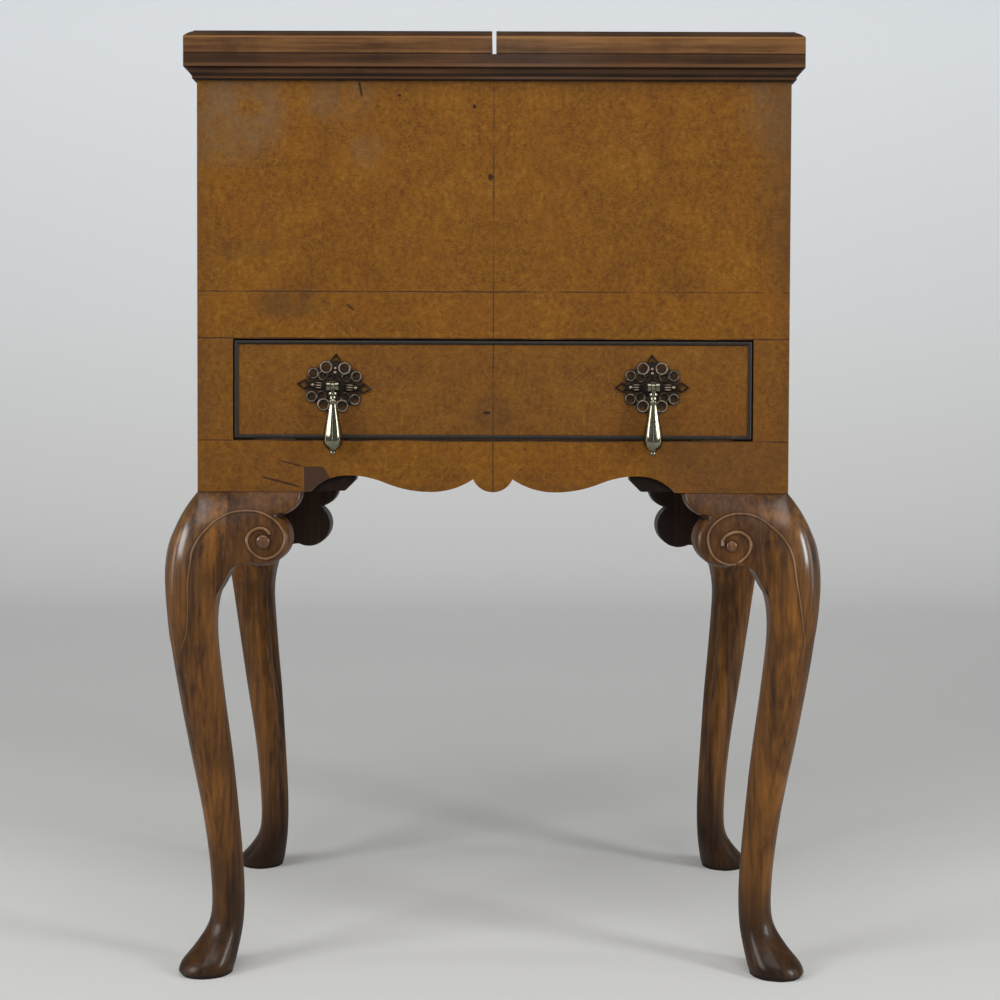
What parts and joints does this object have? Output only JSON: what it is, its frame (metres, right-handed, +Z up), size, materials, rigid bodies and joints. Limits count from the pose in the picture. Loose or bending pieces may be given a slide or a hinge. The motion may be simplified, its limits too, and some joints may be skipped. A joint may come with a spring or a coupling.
{
  "type": "cellarette",
  "caption": "Walnut cellarette: case with hinged lids over a divided bottle well, a fitted drawer with drop pulls, a moulded cornice and cabriole legs with scrolled brackets.",
  "frame": {"origin": "centre of the bounding box on the floor plane", "axes": "+Z up, front of the case faces -Y, +X to the right seen from the front"},
  "size_m": [0.6352, 0.4632, 0.915],
  "materials": {
    "walnut_veneer": "waxed figured walnut veneer, satin",
    "walnut_moulding": "dark polished walnut, satin",
    "carved_walnut": "dark red-brown carved walnut, polished",
    "oak": "bare old oak, matt",
    "pine": "bare darkened pine, matt",
    "ebonised_wood": "ebonised, polished",
    "bronzed_brass": "dark bronzed, worn bright on the rims",
    "aged_brass": "aged, dull with rubbed highlights",
    "hinge_brass": "dull aged brass"
  },
  "bodies": {
    "case": {"apron_rail": "walnut_veneer", "back_panel": "pine", "cornice_back": "pine", "cornice_front": "walnut_moulding", "cornice_left": "walnut_moulding", "cornice_right": "walnut_moulding", "cross_dividers": "oak", "drawer_stops": "oak", "frame_leaves": "hinge_brass", "frieze_rail": "walnut_veneer", "front_left_bracket": "carved_walnut", "front_left_leg": "carved_walnut", "front_panel": "walnut_veneer", "front_right_bracket": "carved_walnut", "front_right_leg": "carved_walnut", "glue_blocks": "pine", "kickers": "oak", "left_front_side_bracket": "carved_walnut", "left_guide": "oak", "left_rear_side_bracket": "carved_walnut", "left_runner": "oak", "left_side": "walnut_veneer", "left_stile": "walnut_veneer", "long_dividers": "oak", "rear_left_bracket": "carved_walnut", "rear_left_leg": "carved_walnut", "rear_right_bracket": "carved_walnut", "rear_right_leg": "carved_walnut", "right_front_side_bracket": "carved_walnut", "right_guide": "oak", "right_rear_side_bracket": "carved_walnut", "right_runner": "oak", "right_side": "walnut_veneer", "right_stile": "walnut_veneer", "well_floor": "oak"},
    "drawer": {"drawer_front": "walnut_veneer", "drawer_left_side": "oak", "drawer_right_side": "oak", "drawer_back": "oak", "drawer_bottom": "oak", "cock_bead_rails": "ebonised_wood", "cock_bead_ends": "ebonised_wood", "left_pull_plate": "bronzed_brass", "right_pull_plate": "bronzed_brass", "left_pull_post": "aged_brass", "right_pull_post": "aged_brass", "pull_pins": "aged_brass", "pull_nuts": "aged_brass"},
    "left_pull": {"left_pull_drop": "aged_brass"},
    "right_pull": {"right_pull_drop": "aged_brass"},
    "left_lid": {"left_lid_panel": "walnut_moulding", "left_lid_front_moulding": "walnut_moulding", "left_lid_end_moulding": "walnut_moulding", "left_lid_leaves": "hinge_brass"},
    "right_lid": {"right_lid_panel": "walnut_moulding", "right_lid_front_moulding": "walnut_moulding", "right_lid_end_moulding": "walnut_moulding", "right_lid_leaves": "hinge_brass"}
  },
  "joints": [
    {"name": "drawer_slide", "type": "slide", "parent": "case", "child": "drawer", "axis": [0, -1, 0], "range_m": [0, 0.28]},
    {"name": "left_lid_hinge", "type": "hinge", "parent": "case", "child": "left_lid", "pos_m": [-0.2982, 0, 0.89165], "axis": [0, -1, 0], "range_deg": [0, 180]},
    {"name": "right_lid_hinge", "type": "hinge", "parent": "case", "child": "right_lid", "pos_m": [0.2982, 0, 0.89165], "axis": [0, 1, 0], "range_deg": [0, 180]},
    {"name": "left_pull_swing", "type": "hinge", "parent": "drawer", "child": "left_pull", "pos_m": [-0.15367, -0.2134, 0.57394], "axis": [-1, 0, 0], "range_deg": [-2, 110]},
    {"name": "right_pull_swing", "type": "hinge", "parent": "drawer", "child": "right_pull", "pos_m": [0.15367, -0.2134, 0.57394], "axis": [-1, 0, 0], "range_deg": [-2, 110]}
  ]
}
